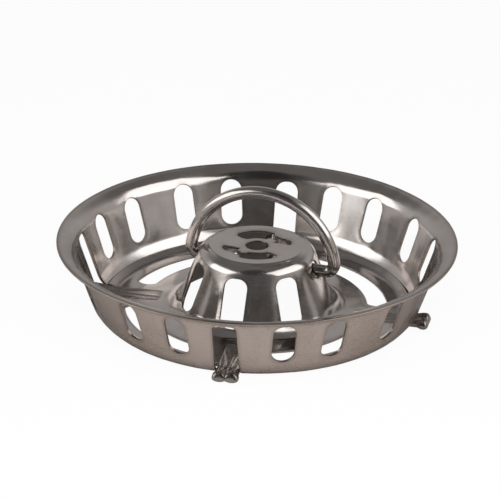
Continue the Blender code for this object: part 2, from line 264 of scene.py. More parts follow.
class Profile:
    """Middle line of a sheet in the plane of radius and height, built from its centre outwards."""

    def __init__(self, start):
        self.start = start
        self.points = []
        self.ways = []
        self.stations = []

    def line(self, start, end):
        length = (end - start).length
        way = (end - start) / length
        count = max(int(length / PROFILE_STEP), 2)
        self._add([start + way * length * index / count for index in range(count)], [way] * count,
                  max(round(length / RING_STEP), 1))

    def arc(self, centre, radius, start, end):
        """Adds an arc between two angles, which turns left where the end is the larger one."""
        hand = math.copysign(1.0, end - start)
        count = max(int(abs(end - start) * radius / PROFILE_STEP), 8)
        angles = [start + (end - start) * index / count for index in range(count)]
        self._add([centre + radius * Vector((math.cos(angle), math.sin(angle))) for angle in angles],
                  [hand * Vector((-math.sin(angle), math.cos(angle))) for angle in angles],
                  max(round(abs(end - start) / BEND_STEP), 2))

    def _add(self, points, ways, rings):
        first = len(self.points)
        self.points += points
        self.ways += ways
        self.stations += [first + round(len(points) * ring / rings) for ring in range(rings)]

    def close(self, end):
        """Adds the last point and works out the distances."""
        self.points.append(end)
        self.ways.append(self.ways[-1])
        self.points = np.array(self.points)
        self.ways = np.array(self.ways)
        steps = np.hypot(*np.diff(self.points, axis=0).T)
        self.distance = np.concatenate(([0.0], np.cumsum(steps)))
        self.rings = self.start + self.distance[self.stations[1:]]
        self.end = self.start + self.distance[-1]
        return self

    def at(self, reach):
        """Radius, height and direction at a distance from the layout's centre."""
        along = reach - self.start
        beyond = np.clip(along, None, 0.0) + np.clip(along - self.distance[-1], 0.0, None)
        radius, height, way_r, way_z = (np.interp(along, self.distance, column)
                                        for column in (*self.points.T, *self.ways.T))
        return radius + beyond * way_r, height + beyond * way_z, way_r, way_z

    def reach_of_height(self, height, first=0, last=None):
        """Distance in the layout where a rising or falling stretch of the points passes a height."""
        heights = self.points[first:last, 1]
        distances = self.distance[first:last]
        order = np.argsort(heights)
        return self.start + float(np.interp(height, heights[order], distances[order]))


def filleted(profile, corners):
    """Adds a polyline whose corners are rounded. Each corner is a point and a radius."""
    here = corners[0][0]
    for (before, _), (corner, radius), (after, _) in zip(corners, corners[1:], corners[2:]):
        back = (before - corner).normalized()
        ahead = (after - corner).normalized()
        half_angle = back.angle(ahead) / 2
        tangent = radius / math.tan(half_angle)
        centre = corner + (back + ahead).normalized() * radius / math.sin(half_angle)
        first = corner + back * tangent - centre
        last = corner + ahead * tangent - centre
        profile.line(here, centre + first)
        start = math.atan2(first.y, first.x)
        turn = math.atan2(last.y, last.x) - start
        turn = (turn + math.pi) % math.tau - math.pi
        profile.arc(centre, radius, start, start + turn)
        here = centre + last
    profile.line(here, corners[-1][0])


def wall_lean():
    rise = RIM_HEIGHT - FLANGE_RISE - FLOOR_HEIGHT
    return math.atan2(RIM_RADIUS - FLANGE_WIDTH - WALL_FOOT_RADIUS, rise)


def wall_radius(height):
    return WALL_FOOT_RADIUS + (height - FLOOR_HEIGHT) * math.tan(wall_lean())


def cup_curl_radius():
    return PLATE_CURL + PLATE_SHEET + SEAT_GAP + CUP_SHEET / 2


def curl_centre():
    height = FLOOR_HEIGHT + PLATE_CURL
    return Vector((wall_radius(height) - cup_curl_radius() / math.cos(wall_lean()), height))


def cup_profile():
    """From the in-turned bottom edge up the wall to the rim's outer edge."""
    profile = Profile(WALL_FOOT_RADIUS)
    profile.arc(curl_centre(), cup_curl_radius(), -CUP_CURL_ANGLE, -wall_lean())
    tilt = math.atan2(FLANGE_RISE, FLANGE_WIDTH)
    half = CUP_SHEET / 2
    edge = Vector((RIM_RADIUS - half * math.sin(tilt), RIM_HEIGHT - half * math.cos(tilt)))
    bend_height = RIM_HEIGHT - FLANGE_RISE - half
    turned = Vector((math.cos(wall_lean()), -math.sin(wall_lean())))
    foot = curl_centre() + cup_curl_radius() * turned
    filleted(profile, [(foot, 0), (Vector((wall_radius(bend_height), bend_height)), FLANGE_BEND), (edge, 0)])
    return profile.close(edge)


def floor_middle():
    return FLOOR_HEIGHT - PLATE_SHEET / 2


def plate_profile():
    """From the centre hole over the dome and the floor to the turned-up edge."""
    profile = Profile(CENTRE_HOLE_RADIUS)
    top = DOME_HEIGHT - PLATE_SHEET / 2
    step = DOME_TOP_RADIUS + STEP_RUN
    flat_end = Vector((curl_centre().x, floor_middle()))
    filleted(profile, [(Vector((CENTRE_HOLE_RADIUS, top - TOP_DISH)), 0),
                       (Vector((DOME_TOP_RADIUS, top)), STEP_FILLET),
                       (Vector((step, top - STEP_DROP)), STEP_FILLET),
                       (Vector((SHOULDER_RADIUS, top - SHOULDER_DROP)), SHOULDER_FILLET),
                       (Vector((DOME_FOOT_RADIUS, floor_middle())), DOME_FOOT_FILLET),
                       (flat_end, 0)])
    start = -math.pi / 2
    radius = PLATE_CURL + PLATE_SHEET / 2
    profile.arc(curl_centre(), radius, start, start + PLATE_CURL_ANGLE)
    end = start + PLATE_CURL_ANGLE
    return profile.close(curl_centre() + radius * Vector((math.cos(end), math.sin(end))))


def layout(reach, azimuth):
    """Points of the ring layout."""
    return np.stack([reach * np.sin(azimuth), -reach * np.cos(azimuth)], axis=-1)


def arc_points(centre, radius, start, end, step=EDGE_STEP):
    count = max(math.ceil(abs(end - start) * radius / step), 6)
    angles = np.linspace(start, end, count + 1)
    return np.stack([centre[0] + radius * np.cos(angles), centre[1] + radius * np.sin(angles)], axis=-1)


def line_points(start, end, step=EDGE_STEP):
    count = max(math.ceil(math.dist(start, end) / step), 1)
    share = np.linspace(0.0, 1.0, count + 1)[:, None]
    return np.asarray(start) * (1 - share) + np.asarray(end) * share


def chained(*runs):
    """Joins runs of points into one loop and drops the points that repeat."""
    loop = np.concatenate(runs)
    gap = np.hypot(*(loop - np.roll(loop, 1, axis=0)).T)
    return loop[gap > EDGE_STEP / 5]


def slot_outline(width, corner, low, high):
    """Slot with rounded corners, X across and Y along, anticlockwise."""
    half = width / 2
    flat = half - corner
    upper = high - corner
    lower = low + corner
    quarter = math.pi / 2
    return chained(arc_points((flat, upper), corner, 0, quarter),
                   line_points((flat, high), (-flat, high)),
                   arc_points((-flat, upper), corner, quarter, 2 * quarter),
                   line_points((-half, upper), (-half, lower)),
                   arc_points((-flat, lower), corner, 2 * quarter, 3 * quarter),
                   line_points((-flat, low), (flat, low)),
                   arc_points((flat, lower), corner, 3 * quarter, 4 * quarter),
                   line_points((half, lower), (half, upper)))


def on_wall(outline, profile, azimuth, middle):
    """Takes an outline from the wall's own surface, X across and Y along it, to the ring layout."""
    reach = middle + outline[:, 1]
    radius = profile.at(reach)[0]
    return layout(reach, azimuth + np.arcsin(outline[:, 0] / radius))


def wall_hole(outline, profile, azimuth, middle):
    """Lays a hole's outline out, with its course turned round because the layout mirrors it."""
    return on_wall(outline, profile, azimuth, middle)[::-1]


def following_azimuths():
    """For each lug, the azimuth of the next lug round."""
    return LUG_AZIMUTHS[1:] + (LUG_AZIMUTHS[0] + math.tau,)


def wall_slot_loops(profile):
    top = profile.reach_of_height(RIM_HEIGHT - SLOT_DROP)
    foot = profile.reach_of_height(SLOT_FOOT)
    outline = slot_outline(SLOT_WIDTH, SLOT_WIDTH / 2, -(top - foot) / 2, (top - foot) / 2)
    return [wall_hole(outline, profile, azimuth, (top + foot) / 2) for azimuth in WALL_SLOT_AZIMUTHS]


def cup_foot_loop(profile):
    """The cup's lower edge, anticlockwise, with a window up into the wall at each lug."""
    top = profile.reach_of_height(RIM_HEIGHT - WINDOW_DROP)
    foot = profile.start
    half = WINDOW_WIDTH / 2
    turn = math.asin(half / profile.at(np.array(foot))[0])
    runs = []
    for azimuth, ahead, corner in zip(LUG_AZIMUTHS, following_azimuths(), WINDOW_CORNERS):
        side = half - corner
        outline = np.concatenate([line_points((-half, foot), (-half, top - corner)),
                                  arc_points((-side, top - corner), corner, math.pi, math.pi / 2)[1:],
                                  line_points((-side, top), (side, top))[1:],
                                  arc_points((side, top - corner), corner, math.pi / 2, 0)[1:],
                                  line_points((half, top - corner), (half, foot))[1:]])
        runs.append(on_wall(outline, profile, azimuth, 0.0))
        start = azimuth + turn
        end = ahead - turn
        runs.append(layout(foot, np.linspace(start, end, math.ceil((end - start) * foot / EDGE_STEP))))
    return chained(*runs)


def ring_loop(reach):
    count = math.ceil(math.tau * reach / EDGE_STEP)
    return layout(reach, np.linspace(0.0, math.tau, count, endpoint=False))


def polar_slot(inner, outer, start, end):
    """Curved slot between two azimuths in the layout, with round ends, anticlockwise."""
    middle = (inner + outer) / 2
    half = (outer - inner) / 2
    cap = math.asin(half / middle)
    first = start + cap
    last = end - cap
    quarter = math.pi / 2
    outer_count = math.ceil((last - first) * outer / EDGE_STEP)
    inner_count = math.ceil((last - first) * inner / EDGE_STEP)
    return chained(layout(outer, np.linspace(first, last, outer_count)),
                   arc_points(layout(middle, np.array(last)), half, last - quarter, last + quarter),
                   layout(inner, np.linspace(last, first, inner_count)),
                   arc_points(layout(middle, np.array(first)), half, first + quarter, first + 3 * quarter))


def cutout_loop(turn):
    """Curved cut-out in the dome's top, anticlockwise: a round eye, a neck, a wide part and a tail."""
    mean = (CUTOUT_INNER + CUTOUT_OUTER) / 2
    tail = TAIL_WIDTH / 2
    first = CUTOUT_EYE - EYE_RADIUS / mean
    shares = (1 - np.cos(np.linspace(0.0, math.pi, CUTOUT_POINTS))) / 2
    azimuths = first + (TAIL_END - first) * shares
    wide = smooth(azimuths, CUTOUT_START - CUTOUT_SWELL, CUTOUT_START + CUTOUT_SWELL)
    wide = wide * (1 - smooth(azimuths, CUTOUT_END - CUTOUT_SWELL, CUTOUT_END + CUTOUT_SWELL))
    half = tail + ((CUTOUT_OUTER - CUTOUT_INNER) / 2 - tail) * wide
    from_eye = np.clip((azimuths - CUTOUT_EYE) * mean / EYE_RADIUS, -1.0, 1.0)
    eye = EYE_RADIUS * np.sqrt(1 - from_eye ** 2)
    half = np.where(azimuths < CUTOUT_EYE, eye, np.maximum(half, eye))
    from_end = np.clip(1 - (TAIL_END - azimuths) * mean / tail, 0.0, 1.0)
    half = half * np.sqrt(1 - from_end ** 2)
    azimuths = azimuths + turn
    return chained(layout(mean + half, azimuths), layout((mean - half)[::-1], azimuths[::-1]))


def dome_side_reach(profile, height):
    """Distance in the layout where the dome's side passes a height."""
    radii = profile.points[:, 0]
    first = np.searchsorted(radii, DOME_TOP_RADIUS + STEP_RUN)
    last = np.searchsorted(radii, DOME_FOOT_RADIUS + DOME_FOOT_FILLET / 2)
    return profile.reach_of_height(height, first, last)


def floor_end(profile):
    """Distance in the layout where the floor begins to turn up."""
    return profile.end - PLATE_CURL_ANGLE * (PLATE_CURL + PLATE_SHEET / 2)


def plate_loops(profile):
    top = dome_side_reach(profile, DOME_HEIGHT - DOME_SLOT_DROP)
    foot = dome_side_reach(profile, DOME_SLOT_FOOT)
    outline = slot_outline(DOME_SLOT_WIDTH, DOME_SLOT_CORNER, -(foot - top) / 2, (foot - top) / 2)
    loops = [wall_hole(outline, profile, azimuth, (top + foot) / 2) for azimuth in DOME_SLOT_AZIMUTHS]
    pivot = dome_side_reach(profile, PIVOT_HEIGHT)
    hole = arc_points((0, 0), WIRE_RADIUS + HOLE_CLEARANCE, 0, math.tau)[:-1]
    loops += [wall_hole(hole, profile, side * math.pi / 2, pivot) for side in (-1, 1)]
    loops += [cutout_loop(0.0), cutout_loop(math.pi)]
    inner = DOME_FOOT_RADIUS + DRAIN_OFFSET + floor_end(profile) - curl_centre().x
    half = BRIDGE_ANGLE / 2
    loops += [polar_slot(inner, inner + DRAIN_WIDTH, azimuth + half, ahead - half)
              for azimuth, ahead in zip(LUG_AZIMUTHS, following_azimuths())]
    return loops


def plate_rim_loop(profile):
    """The turned-up edge, anticlockwise, cut back to the floor where each tongue passes."""
    low = floor_end(profile)
    half = WINDOW_WIDTH / 2 - SEAT_GAP
    outline = np.concatenate([line_points((-half, profile.end), (-half, low)),
                              line_points((-half, low), (half, low))[1:],
                              line_points((half, low), (half, profile.end))[1:]])
    turn = math.asin(half / profile.at(np.array(profile.end))[0])
    runs = []
    for azimuth, ahead in zip(LUG_AZIMUTHS, following_azimuths()):
        runs.append(on_wall(outline, profile, azimuth, 0.0))
        start = azimuth + turn
        end = ahead - turn
        count = math.ceil((end - start) * profile.end / EDGE_STEP)
        runs.append(layout(profile.end, np.linspace(start, end, count)))
    return chained(*runs)


def void_side(loop):
    """Unit vectors to the left of a loop's course, towards what is cut away."""
    course = np.roll(loop, -1, axis=0) - np.roll(loop, 1, axis=0)
    left = np.stack([-course[:, 1], course[:, 0]], axis=-1)
    return left / np.hypot(*left.T)[:, None]


def inside(points, loops):
    """True for points that lie inside an odd number of loops."""
    found = np.zeros(len(points), bool)
    for loop in loops:
        near = np.all((points >= loop.min(0)) & (points <= loop.max(0)), axis=1)
        index = np.flatnonzero(near)
        if not len(index):
            continue
        x, y = points[index].T[..., None]
        ax, ay = loop.T
        bx, by = np.roll(loop, -1, axis=0).T
        crosses = (ay > y) != (by > y)
        with np.errstate(divide="ignore", invalid="ignore"):
            meet = ax + (y - ay) * (bx - ax) / (by - ay)
        found[index] ^= (np.count_nonzero(crosses & (x < meet), axis=1) % 2).astype(bool)
    return found


def tree_of(points):
    tree = KDTree(len(points))
    for index, point in enumerate(points):
        tree.insert((*point, 0.0), index)
    tree.balance()
    return tree


def nearest(points, tree):
    """Distance from each layout point to the nearest point in the tree."""
    return np.array([tree.find((x, y, 0.0))[2] for x, y in points.tolist()])


def sheet_point(profile, dent, points):
    """Places on the sheet's dented middle surface for layout points."""
    reach = np.hypot(*points.T)
    azimuth = np.arctan2(points[:, 0], -points[:, 1])
    radius, height, way_r, way_z = profile.at(reach)
    out = np.stack([np.sin(azimuth), -np.cos(azimuth), np.zeros(len(points))], axis=-1)
    normal = way_r[:, None] * UP - way_z[:, None] * out
    place = radius[:, None] * out + height[:, None] * UP
    return place + dent(points, place)[:, None] * normal


def unit(vectors):
    return vectors / np.linalg.norm(vectors, axis=1)[:, None]


def sheet_normal(profile, dent, points):
    """Normal of the dented surface, from its slopes."""
    steps = np.array(((SLOPE_STEP, 0.0), (0.0, SLOPE_STEP)))
    across = sheet_point(profile, dent, points + steps[0]) - sheet_point(profile, dent, points - steps[0])
    along = sheet_point(profile, dent, points + steps[1]) - sheet_point(profile, dent, points - steps[1])
    return unit(np.cross(across, along))


def ring_grid(profile, spokes, drawn, edge_tree):
    """Layout points between the loops, on the profile's rings, with spokes that alternate."""
    rings = []
    for count, reach in enumerate(profile.rings):
        turn = (count % 2) * math.pi / spokes
        rings.append(layout(reach, np.linspace(0.0, math.tau, spokes, endpoint=False) + turn))
    grid = np.concatenate(rings)
    grid = grid[inside(grid, drawn)]
    return grid[nearest(grid, edge_tree) > GRID_MARGIN]


def triangulated(given, drawn):
    """Triangles between the loops, whose points come first among the given ones.

    Returns the points, the anticlockwise triangles, and the point that stands for each given one.
    """
    edges = []
    first = 0
    for loop in drawn:
        edges += [(first + index, first + (index + 1) % len(loop)) for index in range(len(loop))]
        first += len(loop)
    cdt = delaunay_2d_cdt([Vector(point * MILLIMETRES) for point in given], edges, [], 0, MERGE_GAP)
    points = np.array([tuple(point) for point in cdt[0]]) / MILLIMETRES
    faces = np.array([face for face in cdt[2] if len(face) == 3])
    origin = {source: index for index, sources in enumerate(cdt[3]) for source in sources}
    faces = faces[inside(points[faces].mean(1), drawn)]
    corner = points[faces]
    turn = np.cross(corner[:, 1] - corner[:, 0], corner[:, 2] - corner[:, 0])
    faces[turn < 0] = faces[turn < 0][:, ::-1]
    return points, faces, origin


def rounded_edge(profile, dent, loop, void, ease, half):
    """Rows of points and of normals over the sheet's edge, from its upper to its lower side."""
    round_off = min(ease, half)
    angles = np.linspace(0.0, math.pi / 2, EASE_STEPS + 1)[1:]
    turns = [(angle, 1) for angle in angles]
    turns += [(angle, -1) for angle in angles[::-1]][(1 if round_off == half else 0):]
    outward = unit(sheet_point(profile, dent, loop + SLOPE_STEP * void) - sheet_point(profile, dent, loop))
    rows = []
    for angle, side in turns:
        shifted = loop + ease * math.sin(angle) * void
        normal = sheet_normal(profile, dent, shifted)
        rise = side * (half - round_off * (1 - math.cos(angle)))
        rows.append((sheet_point(profile, dent, shifted) + rise * normal,
                     unit(math.sin(angle) * outward + side * math.cos(angle) * normal)))
    return rows


def shell(name, profile, outer, inner, holes, spokes, sheet, rim_ease, dent):
    """Builds a closed sheet with rounded edges round every loop.

    The loops are the true outlines. Each is drawn back by its ease, and the edge is rounded over it.
    """
    loops = [outer[::-1], inner] + holes
    eases = [rim_ease] + [CUT_EASE] * (len(holes) + 1)
    voids = [void_side(loop) for loop in loops]
    drawn = [loop - ease * void for loop, ease, void in zip(loops, eases, voids)]
    edge_points = np.concatenate(drawn)
    edge_tree = tree_of(edge_points)
    grid = ring_grid(profile, spokes, drawn, edge_tree)
    flat, faces, origin = triangulated(np.concatenate([edge_points, grid]), drawn)
    half = sheet / 2
    place = sheet_point(profile, dent, flat)
    normal = sheet_normal(profile, dent, flat)
    count = len(flat)
    verts = [place + half * normal, place - half * normal]
    normals = [normal, -normal]
    polygons = faces.tolist() + (faces[:, [0, 2, 1]] + count).tolist()
    kinds = [0] * len(faces) + [1] * len(faces)
    total = 2 * count
    first = 0
    for loop, ease, void in zip(drawn, eases, voids):
        upper_side = np.array([origin[first + index] for index in range(len(loop))])
        first += len(loop)
        rings = [upper_side]
        for row, row_normals in rounded_edge(profile, dent, loop, void, ease, half):
            verts.append(row)
            normals.append(row_normals)
            rings.append(np.arange(total, total + len(loop)))
            total += len(loop)
        rings.append(upper_side + count)
        for upper, lower in zip(rings, rings[1:]):
            polygons += np.stack([upper, np.roll(upper, -1), np.roll(lower, -1), lower], axis=-1).tolist()
            kinds += [2] * len(upper)
    used = np.zeros(total, bool)
    used[[index for polygon in polygons for index in polygon]] = True
    renumber = np.cumsum(used) - 1
    mesh = bpy.data.meshes.new(name)
    mesh.from_pydata(np.concatenate(verts)[used].tolist(), [],
                     [[int(renumber[index]) for index in polygon] for polygon in polygons])
    mesh.polygons.foreach_set("material_index", kinds)
    away = nearest(flat, edge_tree) * MILLIMETRES
    away = np.concatenate([away, away, np.zeros(total - 2 * count)])[used]
    mesh.attributes.new(EDGE_ATTRIBUTE, "FLOAT", "POINT").data.foreach_set("value", away)
    mesh.shade_smooth()
    mesh.normals_split_custom_set_from_vertices(np.concatenate(normals)[used].tolist())
    return placed(name, mesh)


def smooth(value, low, high):
    """Eased share, from 0 at low to 1 at high."""
    share = np.clip((value - low) / (high - low), 0.0, 1.0)
    return share * share * (3 - 2 * share)


def pressed(loops):
    """Dents of a pressed sheet: it is drawn down at each cut edge and is slightly uneven."""
    tree = tree_of(np.concatenate(loops))

    def dent(points, place):
        x, y, z = place.T * WAVE_TURNS
        uneven = np.sin(1.7 * x + 0.6 * z) * np.sin(1.3 * y - 0.4 * z + 0.8)
        uneven += 0.5 * np.sin(2.9 * x - 2.3 * y + z)
        return WAVE_HEIGHT * uneven - DISH_DEPTH * np.exp(-(nearest(points, tree) / DISH_REACH) ** 2)

    return dent


def cup():
    profile = cup_profile()
    holes = wall_slot_loops(profile)
    foot = cup_foot_loop(profile)
    return shell("cup_shell", profile, ring_loop(profile.end), foot, holes, CUP_SPOKES, CUP_SHEET,
                 CUP_SHEET / 2, pressed([foot] + holes))


def plate():
    profile = plate_profile()
    holes = plate_loops(profile)
    return shell("plate_shell", profile, plate_rim_loop(profile), ring_loop(profile.start), holes,
                 PLATE_SPOKES, PLATE_SHEET, CUT_EASE, pressed(holes))


def lofted(name, rings):
    """Closed mesh through rings of points, with the first and last ring filled."""
    count = len(rings[0])
    faces = []
    for ring in range(len(rings) - 1):
        near = np.arange(count) + ring * count
        far = near + count
        faces += np.stack([near, np.roll(near, -1), np.roll(far, -1), far], axis=-1).tolist()
    faces.append(list(range(count))[::-1])
    faces.append(list(range((len(rings) - 1) * count, len(rings) * count)))
    mesh = bpy.data.meshes.new(name)
    mesh.from_pydata(np.concatenate(rings).tolist(), [], faces)
    mesh.shade_smooth()
    return placed(name, mesh)


def ridge(share, place, width):
    return np.exp(-((share - place) / width) ** 2)


def tongue_outside():
    """Distance from the axis at which a tongue has passed the wall."""
    return wall_radius(FLOOR_HEIGHT + PLATE_CURL / 2) + CUP_SHEET + SEAT_GAP


def tongue_ring(reach, end):
    """Section of a tongue at a distance from the axis, as it lies at the front, with X across."""
    outside = tongue_outside()
    start = DOME_FOOT_RADIUS + TONGUE_OFFSET
    neck = WINDOW_WIDTH - NECK_PLAY
    past = max(reach - end + LUG_END_ROUND, 0.0) / LUG_END_ROUND
    closing = math.sqrt(1.0 - past ** 2)
    rise = smooth(reach, start, start + TONGUE_RAMP)
    gather = smooth(reach, start + TONGUE_RAMP, outside - FOLD_HOLD)
    climb = smooth(reach, outside - CLIMB_RUN, outside)
    lobes = smooth(reach, outside - LOBE_RUN, outside + 2 * SEAT_GAP)
    flare = smooth(reach, outside - 2 * SEAT_GAP, outside + SEAT_GAP)
    width = neck + (LUG_WIDTH - neck) * flare
    turn = np.linspace(-math.pi / 2, math.pi / 2, TONGUE_SIDES + 1)
    share = np.sin(turn)
    side = (1 - np.abs(share) ** SIDE_POWER) ** (1 / SIDE_POWER)
    folds = sum(height * ridge(share, far + (near - far) * gather, breadth)
                for far, near, height, breadth in FOLDS)
    level = FLOOR_HEIGHT - TONGUE_DEPTH
    crest = TONGUE_RIDGE * folds * rise * (RIDGE_START + (1 - RIDGE_START) * gather)
    swell = np.sin(math.pi * share) ** 2
    climb = CLIMB_HEIGHT * climb * (CLIMB_EDGE + (1 - CLIMB_EDGE) * swell)
    flat_top = (TONGUE_DEPTH - TONGUE_SINK * (1 - rise) + TONGUE_LIFT * rise + crest + climb) * side
    flat_bottom = TONGUE_UNDER * side
    round_lobe = np.sqrt(np.clip(1 - (2 * np.abs(share) - 1) ** 2, 0.0, 1.0))
    waist = np.where(np.abs(share) < 0.5, LOBE_WAIST, 0.0)
    lobe = (round_lobe ** LOBE_POWER + waist ** LOBE_POWER) ** (1 / LOBE_POWER)
    lobe_top = LOBE_HEIGHT * lobe + TONGUE_RIDGE * LOBE_RIDGE * folds * side
    lobe_bottom = (level + LOBE_FLAT) * lobe
    high = level + (flat_top * (1 - lobes) + lobe_top * lobes) * closing
    low = np.maximum(level - (flat_bottom * (1 - lobes) + lobe_bottom * lobes) * closing, 0.0)
    across = share * width / 2 * (LUG_END_WIDTH + (1 - LUG_END_WIDTH) * closing)
    out = np.full_like(share, -reach)
    upper = np.stack([across, out, high], axis=-1)
    lower = np.stack([across, out, low], axis=-1)
    return np.concatenate([upper[::-1], lower[1:-1]])


def tongue(name, azimuth, length):
    start = DOME_FOOT_RADIUS + TONGUE_OFFSET
    end = tongue_outside() + length
    body_end = end - LUG_END_ROUND
    rounded = body_end + LUG_END_ROUND * np.sin(np.linspace(0, math.pi / 2, LUG_END_RINGS))[:-1]
    stations = np.concatenate([np.linspace(start, body_end, TONGUE_RINGS)[:-1], rounded])
    turn = np.array(Matrix.Rotation(azimuth, 3, "Z"))
    return lofted(name, [tongue_ring(reach, end) @ turn.T for reach in stations])


def bail_path():
    """Middle line of the wire in the XZ plane, with heights from the hinge axis."""
    bend_x = math.sqrt((BAIL_RADIUS - BAIL_BEND) ** 2 - (BAIL_BEND - BAIL_RISE) ** 2)
    meets = math.atan2(BAIL_BEND - BAIL_RISE, bend_x)
    turned = arc_points((bend_x, BAIL_BEND), BAIL_BEND, -math.pi / 2, meets, BAIL_STEP)
    half = np.concatenate([line_points((FOOT_START, 0.0), turned[0], BAIL_STEP)[:-1], turned[:-1],
                           arc_points((0.0, BAIL_RISE), BAIL_RADIUS, meets, math.pi / 2, BAIL_STEP)[:-1]])
    return np.concatenate([half, [(0.0, BAIL_RISE + BAIL_RADIUS)], half[::-1] * (-1, 1)])


def bail():
    """Sweeps the wire along its path, with slightly rounded cut ends."""
    path = bail_path()
    course = unit(np.gradient(path, axis=0))
    side = np.stack([course[:, 1], -course[:, 0]], axis=-1)
    turns = np.linspace(0.0, math.tau, WIRE_SIDES, endpoint=False)

    def ring(index, radius=WIRE_RADIUS, inset=0.0):
        centre = path[index] + course[index] * inset
        offset = side[index] * radius
        x = centre[0] + offset[0] * np.cos(turns) + BAIL_SHIFT
        z = centre[1] + offset[1] * np.cos(turns) + PIVOT_HEIGHT
        return np.stack([x, radius * np.sin(turns), z], axis=-1)

    angles = np.linspace(0.0, math.pi / 2, WIRE_EASE_STEPS + 1)[1:-1]
    ends = [(WIRE_RADIUS - WIRE_EASE * (1 - math.sin(angle)), WIRE_EASE * (1 - math.cos(angle)))
            for angle in angles]
    rings = [ring(0, radius, inset) for radius, inset in ends]
    rings += [ring(index) for index in range(1, len(path) - 1)]
    rings += [ring(-1, radius, -inset) for radius, inset in ends[::-1]]
    return lofted("bail_wire", rings)


class Nodes:
    """Adds nodes to a material or a world. An input takes a socket or a constant."""

    def __init__(self, owner):
        owner.use_nodes = True
        self.tree = owner.node_tree

    def new(self, kind):
        return self.tree.nodes.new("ShaderNode" + kind)

    def link(self, value, socket):
        if isinstance(value, bpy.types.NodeSocket):
            self.tree.links.new(value, socket)
        else:
            socket.default_value = value

    def maths(self, operation, first, second, clamp=False):
        node = self.new("Math")
        node.operation = operation
        node.use_clamp = clamp
        self.link(first, node.inputs[0])
        self.link(second, node.inputs[1])
        return node.outputs[0]

    def vector(self, operation, first, second=None, scale=None, output="Vector"):
        node = self.new("VectorMath")
        node.operation = operation
        self.link(first, node.inputs[0])
        if second is not None:
            self.link(second, node.inputs[1])
        if scale is not None:
            self.link(scale, node.inputs[3])
        return node.outputs[output]

    def flat(self, place):
        """The part of a vector that lies in the XY plane."""
        return self.vector("MULTIPLY", place, (1.0, 1.0, 0.0))

    def height(self, place):
        split = self.new("SeparateXYZ")
        self.link(place, split.inputs[0])
        return split.outputs[2]

    def noise(self, vector, scale, detail, roughness, distortion=0.0):
        node = self.new("TexNoise")
        self.link(vector, node.inputs["Vector"])
        self.link(scale, node.inputs["Scale"])
        self.link(detail, node.inputs["Detail"])
        self.link(roughness, node.inputs["Roughness"])
        self.link(distortion, node.inputs["Distortion"])
        return node.outputs[0]

    def span(self, value, low, high, new_low=0.0, new_high=1.0):
        """Takes a range of values to a new one, with eased ends."""
        node = self.new("MapRange")
        node.interpolation_type = "SMOOTHSTEP"
        for socket, given in zip(node.inputs[:5], (value, low, high, new_low, new_high)):
            self.link(given, socket)
        return node.outputs[0]

    def mixed(self, share, first, second):
        node = self.new("Mix")
        node.data_type = "RGBA"
        self.link(share, node.inputs[0])
        self.link(first, node.inputs[6])
        self.link(second, node.inputs[7])
        return node.outputs[2]


